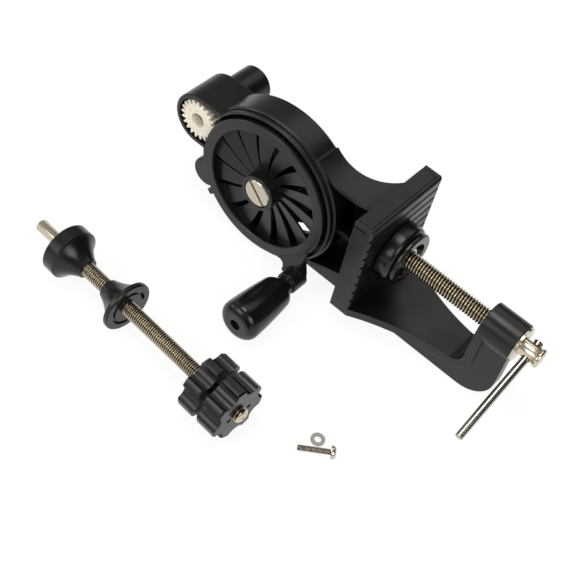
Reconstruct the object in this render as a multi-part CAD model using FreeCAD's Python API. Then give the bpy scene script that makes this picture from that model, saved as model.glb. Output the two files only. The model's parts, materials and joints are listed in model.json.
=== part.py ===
import FreeCAD, Part
import math
import os

# Fishing line winder with a table clamp. It lies on its side, with its winding spindle
# and the small screw and washer that fix the spindle laid out beside it.
#
# Everything is drawn in one working frame in millimetres. Y runs along the wheel's axle
# from the crank to the back, X runs from the wheel to the clamp, and Z is up. The origin
# is on the axle, in the plane of the wheel's front face. At the end every piece is moved
# by one shift, so that the whole set stands on Z = 0 with its origin under its middle.

V = FreeCAD.Vector

# Gear pair
GEAR_MODULE = 1.25
WHEEL_TEETH = 77
PINION_TEETH = 21
PRESSURE_ANGLE = math.radians(20.0)
ROOT_FACTOR = 1.25
TOOTH_THINNING = 0.15
PINION_BEARING = math.radians(167.4)

# Clearances, and how far a body that cuts another reaches past the face it opens
RUN_GAP = 0.05
END_GAP = 0.3
ARM_GAP = 1.0
REACH = 1.0

# Crank wheel
RIM_WIDTH = 7.675
RIM_THICKNESS = 2.5
GEAR_WIDTH = 8.5
HUB_RING_RADIUS = 12.6
HUB_RISE = 4.0
HUB_BACK = 12.0
RIM_EDGE = 0.6
HUB_EDGE = 0.8
BLADE_COUNT = 14
BLADE_SHARE = 0.73
BLADE_SLOPE = 0.165
BLADE_THICKNESS = 1.5
BLADE_RECESS = 3.8
BLADE_ROOT = 1.5
BLADE_SWEEP = math.radians(10.0)
BLADE_START = math.radians(122.9)

# Crank arm and knob
CRANK_BEYOND_RIM = 9.925
CRANK_BEARING = math.radians(-43.1)
CRANK_BOSS_RADIUS = 7.5
CRANK_BOSS_FRONT = -15.0
CRANK_BOSS_BACK = -3.3
CRANK_FILLET = 12.0
ARM_RISE = 7.0
ARM_OVERLAP = 4.0
ARM_BEND_SHARE = 0.28
ARM_HEEL = 3.0
ARM_HEEL_RISE = 1.5
KNOB_LENGTH = 47.0
KNOB_RADIUS = 14.0
KNOB_NECK_RADIUS = 6.0
KNOB_NECK_LENGTH = 3.0
KNOB_SHOULDER_LENGTH = 6.0
KNOB_END_ROUNDING = 6.0
KNOB_END_HOLE_RADIUS = 3.7
KNOB_END_HOLE_DEPTH = 6.0
PIN_RADIUS = 2.5
PIN_HEAD_RADIUS = 3.4
PIN_HEAD_HEIGHT = 2.0
KNOB_WASHER_RADIUS = 5.4
KNOB_WASHER_THICKNESS = 0.6

# Axle of the wheel
AXLE_RADIUS = 4.0
SLEEVE_RADIUS = 6.0
AXLE_HEAD_RADIUS = 9.7
AXLE_HEAD_HEIGHT = 2.2
AXLE_SLOT_WIDTH = 2.2
AXLE_SLOT_DEPTH = 1.5
AXLE_NUT_ACROSS_FLATS = 13.0
AXLE_NUT_HEIGHT = 6.5
AXLE_WASHER_RADIUS = 8.0
AXLE_WASHER_THICKNESS = 1.6
AXLE_END_BEYOND_NUT = 1.5

# Drum that the wheel turns in
RIM_GAP = 1.925
DRUM_WALL = 3.2
DRUM_BACK = 27.0
DRUM_PLATE = 3.0
DRUM_FRONT_EDGE = 1.0
DRUM_BACK_EDGE = 2.0
LIP_WALL = 1.7
LIP_FRONT = 3.0
LIP_LENGTH = 2.6
LIP_EDGE = 0.7
GROOVE_WIDTH = 0.8
GROOVE_DEPTH = 0.8
AXLE_BOSS_RADIUS = 13.0
WINDOW_RADIUS = 41.0
WINDOW_WIDTH = 8.0
WINDOW_BEARING = math.radians(-52.0)
WINDOW_SPAN = math.radians(27.0)
LUG_BEARING = math.radians(208.4)
LUG_RADIUS = 10.5
LUG_FRONT = 4.0
LUG_RIB_BEARING = math.radians(223.0)
LUG_RIB_WIDTH = 4.0
LUG_RIB_PROUD = 4.0
LUG_RIB_LENGTH = 9.0

# Housing of the pinion and the tube behind it
PINION_GAP = 1.125
POD_WALL = 3.0
POD_FRONT = 2.5
POD_EDGE = 1.0
POD_BACK_EDGE = 1.2
POD_CAVITY_BACK = 16.0
POD_BACK = 34.0
POD_REACH_SHARE = 0.75
TUBE_RADIUS = 12.5
TUBE_BACK = 60.0
TUBE_CHAMFER = 1.5
BUSH_RADIUS = 8.0
BUSH_LENGTH = 8.0

# Pinion and its hollow shaft
PINION_FRONT = 3.0
PINION_FACE = 8.5
PINION_HUB_RADIUS = 9.0
PINION_RECESS = 6.5
SHAFT_RADIUS = 5.25
SHAFT_FLANGE_RADIUS = 8.0
SHAFT_FLANGE_THICKNESS = 2.0
SHAFT_WEB = 12.0
SHAFT_ROOM = 1.0

# Neck between the drum and the clamp
NECK_START = 30.0
NECK_TOP_AT_DRUM = 40.5
NECK_TOP_AT_PLATE = 36.0
NECK_BOTTOM_AT_PLATE = -36.0
NECK_FRONT_AT_DRUM = 7.6
NECK_FRONT_AT_PLATE = 13.0
NECK_BACK_AT_PLATE = 45.0
NECK_WALL = 3.5
NECK_WAIST_SHIFT = 4.0
NECK_WAIST_DROP = 1.5
NECK_FRONT_BOW = 1.0
NECK_BACK_RISE = 3.0
NECK_BEAD_RADIUS = 1.3
NECK_RIB_THICKNESS = 3.0
FIN_FRONT = 18.0
FIN_THICKNESS = 8.0
FIN_CORNER_RADIUS = 22.0

# Clamp
PLATE_BEYOND_DRUM = 16.8
PLATE_CORE = 10.5
PLATE_FRONT = -4.0
PLATE_REAR = 66.0
PLATE_TOP = 37.0
BOOT_THICKNESS = 3.0
BOOT_RIB_COUNT = 9
BOOT_GROOVE_WIDTH = 2.0
BOOT_GROOVE_DEPTH = 1.2
BOOT_CORNER_GAP = 1.4
BOOT_LINE_INSET = 2.6
BOOT_LINE_WIDTH = 0.8
BOOT_LINE_DEPTH = 0.7
BOOT_EDGE = 2.0
FLANGE_TOP = -36.0
FLANGE_THICKNESS = 6.0
CURL_RADIUS = 10.0
BOSS_BEYOND_PLATE = 87.7
BOSS_LENGTH = 24.0
BOSS_RADIUS = 13.0
BOSS_EDGE = 0.8
SCREW_Y = 29.0
NUT_BODY_RADIUS = 9.5
NUT_FLANGE_RADIUS = 12.0
NUT_FLANGE_THICKNESS = 1.5
SCREW_ROOM = 1.0
ARM_SIDE_SHARE = 0.42
ARM_SIDE_BOW = 0.66
ARM_END_LENGTH = 4.0

# Clamp screw, its pad and its tommy bar
SCREW_RADIUS = 6.0
SCREW_HEAD_LENGTH = 15.0
SCREW_HEAD_RADIUS = 5.6
SCREW_FLARE_RADIUS = 6.4
SCREW_FLARE_LENGTH = 3.0
BAR_RADIUS = 2.6
BAR_HOLE_GAP = 0.45
BAR_BEYOND_BOSS = 8.0
BAR_REACH = 68.0
BAR_TAIL = 8.0
BAR_TAIL_HEAD_RADIUS = 3.1
BAR_TAIL_HEAD_LENGTH = 1.6
BAR_BEARING = math.radians(202.4)
PAD_RADIUS = 20.0
PAD_LENGTH = 14.4
PAD_EDGE_RADIUS = 3.5
PAD_RIM_RADIUS = 18.6
PAD_RIM_LENGTH = 2.2
PAD_RECESS_RADIUS = 12.5
PAD_RECESS_DEPTH = 4.0
PAD_SOCKET_DEPTH = 8.0
COLLAR_RADIUS = 7.9
COLLAR_THICKNESS = 2.6
COLLAR_EDGE = 0.9

# Winding spindle, measured along its axis from the tip of the plain stub
STUB_RADIUS = 4.0
THREAD_RADIUS = 5.0
SPINDLE_LENGTH = 185.0
SPINDLE_DOME = 1.6
CENTRE_HOLE_RADIUS = 1.5
CONE_BACK = 23.0
CONE_BAND = 10.0
CONE_RADIUS = 17.3
CONE_SHOULDER_RADIUS = 16.0
CONE_NOSE_RADIUS = 6.6
CONE_NOSE = 46.0
CUP_GAP = 0.7
CONE_EDGE = 0.8
CUP_BEYOND_BAND = 1.3
SEAT_ROOM = 1.0
FLANK_SHARE = 0.36
CONE_GROOVE_OUTER = 12.6
CONE_GROOVE_INNER = 10.4
CONE_GROOVE_DEPTH = 1.6
SLIDING_CONE_NOSE = 65.0
SLIDING_CONE_FLANGE = 3.0
SLIDING_CONE_END = 84.0
NUT_LOBES = 7
NUT_RADIUS = 20.0
NUT_SCALLOP_RADIUS = 6.6
NUT_SCALLOP_CENTRE = 21.9
NUT_CHAMFER = 1.0
INNER_NUT_START = 150.0
INNER_NUT_LENGTH = 13.0
OUTER_NUT_START = 166.0
OUTER_NUT_LENGTH = 15.0
NUT_PIN_HOLE_RADIUS = 1.7
NUT_PIN_HOLE_CIRCLE = 8.0
NUT_PIN_HOLE_DEPTH = 4.0

# Where the spindle lies: its stub's tip in plan, and the way it points
SPINDLE_TIP_X = -90.8
SPINDLE_TIP_Y = -99.3
SPINDLE_HEADING = math.radians(-3.6)

# Fixing screw and washer of the spindle
FIX_RADIUS = 2.0
FIX_LENGTH = 20.0
FIX_HEAD_RADIUS = 4.0
FIX_HEAD_HEIGHT = 3.1
FIX_WASHER_RADIUS = 4.5
FIX_WASHER_THICKNESS = 0.8
FIX_HOLE_GAP = 0.15
FIX_TIP_X = 123.3
FIX_TIP_Y = -92.7
FIX_HEADING = math.radians(33.8)
FIX_WASHER_X = 127.9
FIX_WASHER_Y = -78.7

# Values that follow from the sizes above
WHEEL_PITCH_RADIUS = GEAR_MODULE * WHEEL_TEETH / 2
PINION_PITCH_RADIUS = GEAR_MODULE * PINION_TEETH / 2
RIM_RADIUS = WHEEL_PITCH_RADIUS + GEAR_MODULE
RIM_INNER_RADIUS = RIM_RADIUS - RIM_WIDTH
CRANK_THROW = RIM_RADIUS + CRANK_BEYOND_RIM
DRUM_INNER_RADIUS = RIM_RADIUS + RIM_GAP
DRUM_RADIUS = DRUM_INNER_RADIUS + DRUM_WALL
LIP_RADIUS = DRUM_INNER_RADIUS + LIP_WALL
POD_RADIUS = PINION_PITCH_RADIUS + GEAR_MODULE + PINION_GAP + POD_WALL
CENTRE_DISTANCE = WHEEL_PITCH_RADIUS + PINION_PITCH_RADIUS
PINION_X = CENTRE_DISTANCE * math.cos(PINION_BEARING)
PINION_Z = CENTRE_DISTANCE * math.sin(PINION_BEARING)
CRANK_X = CRANK_THROW * math.cos(CRANK_BEARING)
CRANK_Z = CRANK_THROW * math.sin(CRANK_BEARING)
FLOOR = -DRUM_RADIUS
AXLE_HEAD_BACK = -HUB_RISE + AXLE_HEAD_HEIGHT
AXLE_BOSS_FRONT = HUB_BACK + END_GAP
KNOB_START = CRANK_BOSS_FRONT - KNOB_WASHER_THICKNESS - END_GAP
PLATE_BACK = DRUM_RADIUS + PLATE_BEYOND_DRUM
PLATE_FACE = PLATE_BACK + PLATE_CORE
JAW_FACE = PLATE_FACE + BOOT_THICKNESS
BOSS_START = PLATE_BACK + BOSS_BEYOND_PLATE
BOSS_END = BOSS_START + BOSS_LENGTH
BAR_HOLE_X = BOSS_END + BAR_BEYOND_BOSS
PAD_START = JAW_FACE + END_GAP
PAD_END = PAD_START + PAD_LENGTH
PINION_BACK = PINION_FRONT + PINION_FACE
SHAFT_FRONT = PINION_FRONT + PINION_RECESS
SHAFT_BACK = TUBE_BACK + END_GAP + SHAFT_FLANGE_THICKNESS
CONE_CUP_RADIUS = TUBE_RADIUS + CUP_GAP
CUP_DEPTH = CONE_BAND + CUP_BEYOND_BAND
SEAT_DEPTH = CUP_DEPTH + SHAFT_FLANGE_THICKNESS
ROUND_SHARE = 1 - math.sqrt(0.5)


def at(x, z, y=0.0):
    """A point of the side view, at depth y."""
    return V(x, y, z)


def polar(radius, angle, y=0.0):
    """A point of the side view at a radius and angle round the wheel's axle."""
    return V(radius * math.cos(angle), y, radius * math.sin(angle))


def edges(points):
    """Edges through the points. A pair of points in the list is an arc's middle and end."""
    result = []
    here = points[0]
    for step in points[1:]:
        if isinstance(step, tuple):
            result.append(Part.Arc(here, step[0], step[1]).toShape())
            here = step[1]
        else:
            result.append(Part.makeLine(here, step))
            here = step
    if (here - points[0]).Length > 1e-6:
        result.append(Part.makeLine(here, points[0]))
    return result


def prism(points, along):
    """A closed outline pushed along a vector."""
    return Part.Face(Part.Wire(edges(points))).extrude(along)


def cylinder(radius, y0, y1, x=0.0, z=0.0):
    """A cylinder along Y."""
    return Part.makeCylinder(radius, y1 - y0, V(x, y0, z), V(0, 1, 0))


def cylinder_x(radius, x0, x1):
    """A cylinder along the clamp screw."""
    return Part.makeCylinder(radius, x1 - x0, V(x0, SCREW_Y, 0), V(1, 0, 0))


def block(x0, x1, y0, y1, z0, z1):
    """A box between two corners."""
    return Part.makeBox(x1 - x0, y1 - y0, z1 - z0, V(x0, y0, z0))


def turned(points, origin=V(0, 0, 0), axis=V(0, 0, 1)):
    """A turned solid. The points are (radius, length) pairs, and a pair of pairs is an arc."""
    def place(pair):
        return V(pair[0], 0, pair[1])
    path = []
    for step in points:
        if isinstance(step[0], tuple):
            path.append((place(step[0]), place(step[1])))
        else:
            path.append(place(step))
    face = Part.Face(Part.Wire(edges(path)))
    solid = face.revolve(V(0, 0, 0), V(0, 0, 1), 360)
    solid.Placement = FreeCAD.Placement(origin, FreeCAD.Rotation(V(0, 0, 1), axis))
    return solid


def fused(first, *others):
    """One solid from several that meet."""
    return first.fuse(list(others)).removeSplitter()


def slot_outline(radius, y):
    """The housing's outline: round about the pinion, with two level sides to the drum."""
    reach = -DRUM_INNER_RADIUS * POD_REACH_SHARE
    top = PINION_Z + radius
    bottom = PINION_Z - radius
    return [at(reach, top, y), at(PINION_X, top, y),
            (at(PINION_X - radius, PINION_Z, y), at(PINION_X, bottom, y)), at(reach, bottom, y)]


def gear(teeth, y0, width, first_tooth, x=0.0, z=0.0):
    """A spur gear along Y, with a tooth centred at the angle first_tooth."""
    pitch_radius = GEAR_MODULE * teeth / 2
    base_radius = pitch_radius * math.cos(PRESSURE_ANGLE)
    tip_radius = pitch_radius + GEAR_MODULE
    root_radius = pitch_radius - ROOT_FACTOR * GEAR_MODULE
    start_radius = max(base_radius, root_radius)
    thickness = math.pi * GEAR_MODULE / 2 - TOOTH_THINNING
    half_angle = thickness / (2 * pitch_radius) + math.tan(PRESSURE_ANGLE) - PRESSURE_ANGLE

    def flank(radius, side, centre):
        pressure = math.acos(min(1.0, base_radius / radius))
        lean = half_angle - (math.tan(pressure) - pressure)
        return polar(radius, centre + side * lean, y0)

    middle_radius = (start_radius + tip_radius) / 2
    points = []
    for index in range(teeth):
        centre = first_tooth + index * 2 * math.pi / teeth
        if root_radius < base_radius:
            points.append(polar(root_radius, centre - half_angle, y0))
        points.append(flank(start_radius, -1, centre))
        points.append((flank(middle_radius, -1, centre), flank(tip_radius, -1, centre)))
        points.append(flank(tip_radius, 1, centre))
        points.append((flank(middle_radius, 1, centre), flank(start_radius, 1, centre)))
        if root_radius < base_radius:
            points.append(polar(root_radius, centre + half_angle, y0))
    solid = prism(points, V(0, width, 0))
    solid.translate(V(x, 0, z))
    return solid


def blade():
    """One pitched blade of the wheel, from the hub to the rim, before it is turned to its place."""
    half_width = BLADE_SHARE * math.pi / BLADE_COUNT
    inner = HUB_RING_RADIUS - BLADE_ROOT
    outer = RIM_INNER_RADIUS + BLADE_ROOT
    sections = []
    for share in (0.0, 0.5, 1.0):
        radius = inner + share * (outer - inner)
        centre = BLADE_START + BLADE_SWEEP * (1 - share)
        half_rise = BLADE_SLOPE * radius * half_width
        middle = BLADE_RECESS + BLADE_SLOPE * outer * half_width
        low = polar(radius, centre - half_width)
        high = polar(radius, centre + half_width)
        corners = [low + V(0, middle + half_rise, 0), high + V(0, middle - half_rise, 0),
                   high + V(0, middle - half_rise + BLADE_THICKNESS, 0),
                   low + V(0, middle + half_rise + BLADE_THICKNESS, 0)]
        sections.append(Part.Wire(edges(corners)))
    return Part.makeLoft(sections, True, False)


def crank_arm():
    """The arm that grows out of the rim, and the boss at its end that carries the knob."""
    along = polar(1.0, CRANK_BEARING)
    across = polar(1.0, CRANK_BEARING + math.pi / 2)

    def place(forward, sideways, y):
        return along * forward + across * sideways + V(0, y, 0)

    to_rim = RIM_RADIUS + CRANK_FILLET
    to_boss = CRANK_BOSS_RADIUS + CRANK_FILLET
    centre_f = (to_rim ** 2 - to_boss ** 2 + CRANK_THROW ** 2) / (2 * CRANK_THROW)
    centre_s = math.sqrt(to_rim ** 2 - centre_f ** 2)
    rim_point = (centre_f * RIM_RADIUS / to_rim, centre_s * RIM_RADIUS / to_rim)
    boss_share = CRANK_BOSS_RADIUS / to_boss
    boss_point = (CRANK_THROW + (centre_f - CRANK_THROW) * boss_share, centre_s * boss_share)
    to_corner = math.hypot(centre_f - rim_point[0], centre_s - rim_point[1])
    middle_f = (rim_point[0] + boss_point[0]) / 2 - centre_f
    middle_s = (rim_point[1] + boss_point[1]) / 2 - centre_s
    scale = to_corner / math.hypot(middle_f, middle_s)
    middle = (centre_f + middle_f * scale, centre_s + middle_s * scale)
    y = -ARM_RISE - REACH
    tip = CRANK_THROW + CRANK_BOSS_RADIUS
    outline = [place(rim_point[0], rim_point[1], y),
               (place(middle[0], middle[1], y), place(boss_point[0], boss_point[1], y)),
               (place(tip, 0, y), place(boss_point[0], -boss_point[1], y)),
               (place(middle[0], -middle[1], y), place(rim_point[0], -rim_point[1], y))]
    plan = prism(outline, V(0, POD_FRONT - y, 0))
    back = POD_FRONT - ARM_GAP
    start = RIM_INNER_RADIUS + REACH
    neck = CRANK_THROW - CRANK_BOSS_RADIUS
    wide = -RIM_RADIUS / 2
    bend = (RIM_RADIUS + neck) / 2 - REACH
    side = [place(start, wide, 0), place(RIM_RADIUS - ARM_OVERLAP, wide, 0),
            (place(bend, wide, -ARM_RISE * ARM_BEND_SHARE), place(neck + REACH, wide, -ARM_RISE)),
            place(tip + REACH, wide, -ARM_RISE), place(tip + REACH, wide, CRANK_BOSS_BACK),
            place(CRANK_THROW + 2, wide, CRANK_BOSS_BACK),
            (place(CRANK_THROW - ARM_HEEL, wide, back - ARM_HEEL_RISE), place(neck - REACH, wide, back)),
            place(start, wide, back)]
    profile = prism(side, across * (-2 * wide))
    arm = plan.common(profile)
    boss = cylinder(CRANK_BOSS_RADIUS, CRANK_BOSS_FRONT, CRANK_BOSS_BACK, CRANK_X, CRANK_Z)
    boss = boss.makeFillet(HUB_EDGE, [edge for edge in boss.Edges if edge.BoundBox.YMax < CRANK_BOSS_FRONT + 0.1])
    return arm, boss


def crank_wheel():
    """Rim, gear teeth, blades, hub and crank arm, moulded in one."""
    gear_start = RIM_THICKNESS
    gear_end = gear_start + GEAR_WIDTH
    rim = turned([(RIM_INNER_RADIUS, RIM_EDGE), (RIM_INNER_RADIUS + RIM_EDGE, 0), (RIM_RADIUS - RIM_EDGE, 0),
                  (RIM_RADIUS, RIM_EDGE), (RIM_RADIUS, gear_start), (RIM_INNER_RADIUS, gear_start)], axis=V(0, 1, 0))
    teeth = gear(WHEEL_TEETH, gear_start, GEAR_WIDTH, PINION_BEARING)
    ring = fused(rim, teeth.cut(cylinder(RIM_INNER_RADIUS, gear_start - 1, gear_end + 1)))
    hub = cylinder(HUB_RING_RADIUS, -HUB_RISE, HUB_BACK)
    hub = hub.makeFillet(HUB_EDGE, [edge for edge in hub.Edges if edge.BoundBox.YMax < 0])
    first = blade()
    blades = []
    for index in range(BLADE_COUNT):
        copy = first.copy()
        copy.rotate(V(0, 0, 0), V(0, 1, 0), index * 360.0 / BLADE_COUNT)
        blades.append(copy)
    arm, boss = crank_arm()
    wheel = fused(ring, hub, arm, boss, *blades)
    head_room = AXLE_HEAD_RADIUS + END_GAP
    wheel = wheel.cut(cylinder(head_room, -HUB_RISE - 1, AXLE_HEAD_BACK + END_GAP))
    wheel = wheel.cut(cylinder(SLEEVE_RADIUS + RUN_GAP, -HUB_RISE, HUB_BACK + 1))
    return wheel.cut(cylinder(PIN_RADIUS, CRANK_BOSS_FRONT - 1, CRANK_BOSS_BACK + 1, CRANK_X, CRANK_Z))


def axle_screw():
    """Slotted shoulder screw that holds the wheel."""
    end = DRUM_BACK + AXLE_WASHER_THICKNESS + AXLE_NUT_HEIGHT + AXLE_END_BEYOND_NUT
    head = turned([(0, -HUB_RISE), (AXLE_HEAD_RADIUS - 0.6, -HUB_RISE), (AXLE_HEAD_RADIUS, -HUB_RISE + 0.6),
                   (AXLE_HEAD_RADIUS, AXLE_HEAD_BACK), (AXLE_RADIUS, AXLE_HEAD_BACK), (AXLE_RADIUS, end - 0.8),
                   (AXLE_RADIUS - 0.8, end), (0, end)], axis=V(0, 1, 0))
    slot = block(-AXLE_HEAD_RADIUS - 1, AXLE_HEAD_RADIUS + 1, -HUB_RISE - 1, -HUB_RISE + AXLE_SLOT_DEPTH,
                 -AXLE_SLOT_WIDTH / 2, AXLE_SLOT_WIDTH / 2)
    slot.rotate(V(0, 0, 0), V(0, 1, 0), -math.degrees(CRANK_BEARING))
    return head.cut(slot)


def axle_sleeve():
    """Sleeve that the wheel turns on, held between the screw's head and the drum's boss."""
    sleeve = cylinder(SLEEVE_RADIUS, AXLE_HEAD_BACK, AXLE_BOSS_FRONT)
    return sleeve.cut(cylinder(AXLE_RADIUS, AXLE_HEAD_BACK - 1, AXLE_BOSS_FRONT + 1))


def axle_washer():
    """Washer under the axle's nut, on the back of the drum."""
    washer = cylinder(AXLE_WASHER_RADIUS, DRUM_BACK, DRUM_BACK + AXLE_WASHER_THICKNESS)
    return washer.cut(cylinder(AXLE_RADIUS, DRUM_BACK - 1, DRUM_BACK + AXLE_WASHER_THICKNESS + 1))


def axle_nut():
    """Hexagon nut on the axle screw's end."""
    start = DRUM_BACK + AXLE_WASHER_THICKNESS
    corner = AXLE_NUT_ACROSS_FLATS / math.sqrt(3)
    points = [polar(corner, math.radians(60 * index), start) for index in range(6)]
    nut = prism(points, V(0, AXLE_NUT_HEIGHT, 0))
    chamfer = turned([(0, start), (corner, start), (corner, start + AXLE_NUT_HEIGHT - 1.2),
                      (corner - 1.2, start + AXLE_NUT_HEIGHT), (0, start + AXLE_NUT_HEIGHT)], axis=V(0, 1, 0))
    return nut.common(chamfer).cut(cylinder(AXLE_RADIUS, start - 1, start + AXLE_NUT_HEIGHT + 1))


def knob():
    """Turned grip that spins on the knob pin."""
    start = KNOB_START
    end = start - KNOB_LENGTH
    full = KNOB_RADIUS
    rounding = KNOB_END_ROUNDING
    bore = PIN_RADIUS + RUN_GAP
    hole_floor = end + KNOB_END_HOLE_DEPTH
    neck_end = start - KNOB_NECK_LENGTH
    corner = (full - rounding * ROUND_SHARE, end + rounding * ROUND_SHARE)
    profile = [(bore, start), (KNOB_NECK_RADIUS, start), (KNOB_NECK_RADIUS, neck_end),
               ((full * 0.6, neck_end - 1.6), (full * 0.8, neck_end - KNOB_SHOULDER_LENGTH)),
               ((full * 0.92, start - KNOB_LENGTH * 0.5), (full, end + KNOB_LENGTH * 0.17)),
               (full, end + rounding), (corner, (full - rounding, end)),
               (KNOB_END_HOLE_RADIUS, end), (KNOB_END_HOLE_RADIUS, hole_floor), (bore, hole_floor)]
    return turned(profile, V(CRANK_X, 0, CRANK_Z), V(0, 1, 0))


def knob_pin():
    """Headed pin that holds the knob to the arm."""
    head_back = KNOB_START - KNOB_LENGTH + KNOB_END_HOLE_DEPTH - END_GAP
    head_front = head_back - PIN_HEAD_HEIGHT
    return turned([(0, CRANK_BOSS_BACK), (PIN_RADIUS, CRANK_BOSS_BACK), (PIN_RADIUS, head_back),
                   (PIN_HEAD_RADIUS, head_back), (PIN_HEAD_RADIUS, head_front + 0.5),
                   (PIN_HEAD_RADIUS - 0.5, head_front), (0, head_front)],
                  V(CRANK_X, 0, CRANK_Z), V(0, 1, 0))


def knob_washer():
    """Thin washer between the knob and the arm's boss."""
    washer = cylinder(KNOB_WASHER_RADIUS, CRANK_BOSS_FRONT - KNOB_WASHER_THICKNESS, CRANK_BOSS_FRONT,
                      CRANK_X, CRANK_Z)
    return washer.cut(cylinder(PIN_RADIUS, CRANK_BOSS_FRONT - 2, CRANK_BOSS_FRONT + 1, CRANK_X, CRANK_Z))


def drum_outside():
    """Outside of the drum, with its lip and the fine groove behind the lip."""
    groove_start = LIP_FRONT + LIP_LENGTH
    groove_end = groove_start + GROOVE_WIDTH
    return turned([(0, LIP_FRONT), (LIP_RADIUS - LIP_EDGE, LIP_FRONT), (LIP_RADIUS, LIP_FRONT + LIP_EDGE),
                   (LIP_RADIUS, groove_start),
                   (LIP_RADIUS - GROOVE_DEPTH, groove_start), (LIP_RADIUS - GROOVE_DEPTH, groove_end),
                   (DRUM_RADIUS - DRUM_FRONT_EDGE, groove_end), (DRUM_RADIUS, groove_end + DRUM_FRONT_EDGE),
                   (DRUM_RADIUS, DRUM_BACK - DRUM_BACK_EDGE), (DRUM_RADIUS - DRUM_BACK_EDGE, DRUM_BACK),
                   (0, DRUM_BACK)], axis=V(0, 1, 0))


def neck_band(inset):
    """The neck's flared form, drawn in by inset on its top, bottom and back."""
    end = PLATE_BACK
    middle = (NECK_START + end) / 2 + NECK_WAIST_SHIFT
    top_mid = (NECK_TOP_AT_DRUM + NECK_TOP_AT_PLATE) / 2 - NECK_WAIST_DROP
    top_start = math.sqrt(DRUM_RADIUS ** 2 - NECK_START ** 2)
    side = [at(NECK_START, top_start - inset, PLATE_FRONT),
            (at(middle, top_mid - inset, PLATE_FRONT), at(end, NECK_TOP_AT_PLATE - inset, PLATE_FRONT)),
            at(end, NECK_BOTTOM_AT_PLATE + inset, PLATE_FRONT),
            (at(middle, -top_mid + inset, PLATE_FRONT), at(NECK_START, -top_start + inset, PLATE_FRONT))]
    body = prism(side, V(0, PLATE_REAR - PLATE_FRONT, 0))
    low = -DRUM_RADIUS
    front_mid = (NECK_FRONT_AT_DRUM + NECK_FRONT_AT_PLATE) / 2 - NECK_FRONT_BOW
    back_mid = DRUM_BACK + NECK_BACK_RISE
    front = NECK_FRONT_AT_DRUM if inset == 0 else PLATE_FRONT
    front_end = NECK_FRONT_AT_PLATE if inset == 0 else PLATE_FRONT
    plan = [V(NECK_START, front, low), V(end, front_end, low), V(end, NECK_BACK_AT_PLATE - inset, low),
            (V(middle, back_mid - inset, low), V(NECK_START, DRUM_BACK - inset, low))]
    if inset == 0:
        plan[1] = (V(middle, front_mid, low), V(end, front_end, low))
    return body.common(prism(plan, V(0, 0, 2 * DRUM_RADIUS)))


def fin():
    """Flat web along the lower edge, from the drum to the corner under the clamp's boss."""
    corner_x = BOSS_END - FIN_CORNER_RADIUS
    corner_z = FLOOR + FIN_CORNER_RADIUS
    bend = FIN_CORNER_RADIUS * math.sqrt(0.5)
    inner_x = BOSS_START - CURL_RADIUS
    inner_z = FLANGE_TOP + CURL_RADIUS
    curl = CURL_RADIUS * math.sqrt(0.5)
    y = FIN_FRONT
    return prism([at(0, FLOOR, y), at(corner_x, FLOOR, y),
                  (at(corner_x + bend, corner_z - bend, y), at(BOSS_END, corner_z, y)),
                  at(BOSS_END, 0, y), at(BOSS_START, 0, y), at(BOSS_START, inner_z, y),
                  (at(inner_x + curl, inner_z - curl, y), at(inner_x, FLANGE_TOP, y)),
                  at(PLATE_FACE, FLANGE_TOP, y), at(PLATE_BACK, 0, y), at(0, 0, y)],
                 V(0, FIN_THICKNESS, 0))


def clamp_arm():
    """Broad flange under the plate that narrows to the boss and curls up into it."""
    outer = CURL_RADIUS + FLANGE_THICKNESS
    inner_x = BOSS_START - CURL_RADIUS
    inner_z = FLANGE_TOP + CURL_RADIUS
    bend = math.sqrt(0.5)
    y = PLATE_FRONT
    side = [at(PLATE_BACK, FLANGE_TOP, y), at(inner_x, FLANGE_TOP, y),
            (at(inner_x + CURL_RADIUS * bend, inner_z - CURL_RADIUS * bend, y), at(BOSS_START, inner_z, y)),
            at(BOSS_START, 0, y), at(BOSS_START + FLANGE_THICKNESS, 0, y),
            at(BOSS_START + FLANGE_THICKNESS, inner_z, y),
            (at(inner_x + outer * bend, inner_z - outer * bend, y), at(inner_x, FLANGE_TOP - FLANGE_THICKNESS, y)),
            at(PLATE_BACK, FLANGE_TOP - FLANGE_THICKNESS, y)]
    strip = prism(side, V(0, PLATE_REAR - PLATE_FRONT, 0))
    near = SCREW_Y - BOSS_RADIUS
    far = SCREW_Y + BOSS_RADIUS
    low = FLOOR
    middle = JAW_FACE + (BOSS_START - JAW_FACE) * ARM_SIDE_SHARE
    narrow = BOSS_START - ARM_END_LENGTH
    plan = [V(PLATE_BACK, PLATE_FRONT, low), V(JAW_FACE, PLATE_FRONT, low),
            (V(middle, PLATE_FRONT + (near - PLATE_FRONT) * ARM_SIDE_BOW, low), V(narrow, near, low)),
            V(BOSS_END, near, low), V(BOSS_END, far, low), V(narrow, far, low),
            (V(middle, PLATE_REAR - (PLATE_REAR - far) * ARM_SIDE_BOW, low), V(JAW_FACE, PLATE_REAR, low)),
            V(PLATE_BACK, PLATE_REAR, low)]
    return strip.common(prism(plan, V(0, 0, DRUM_RADIUS * 2)))


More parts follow.
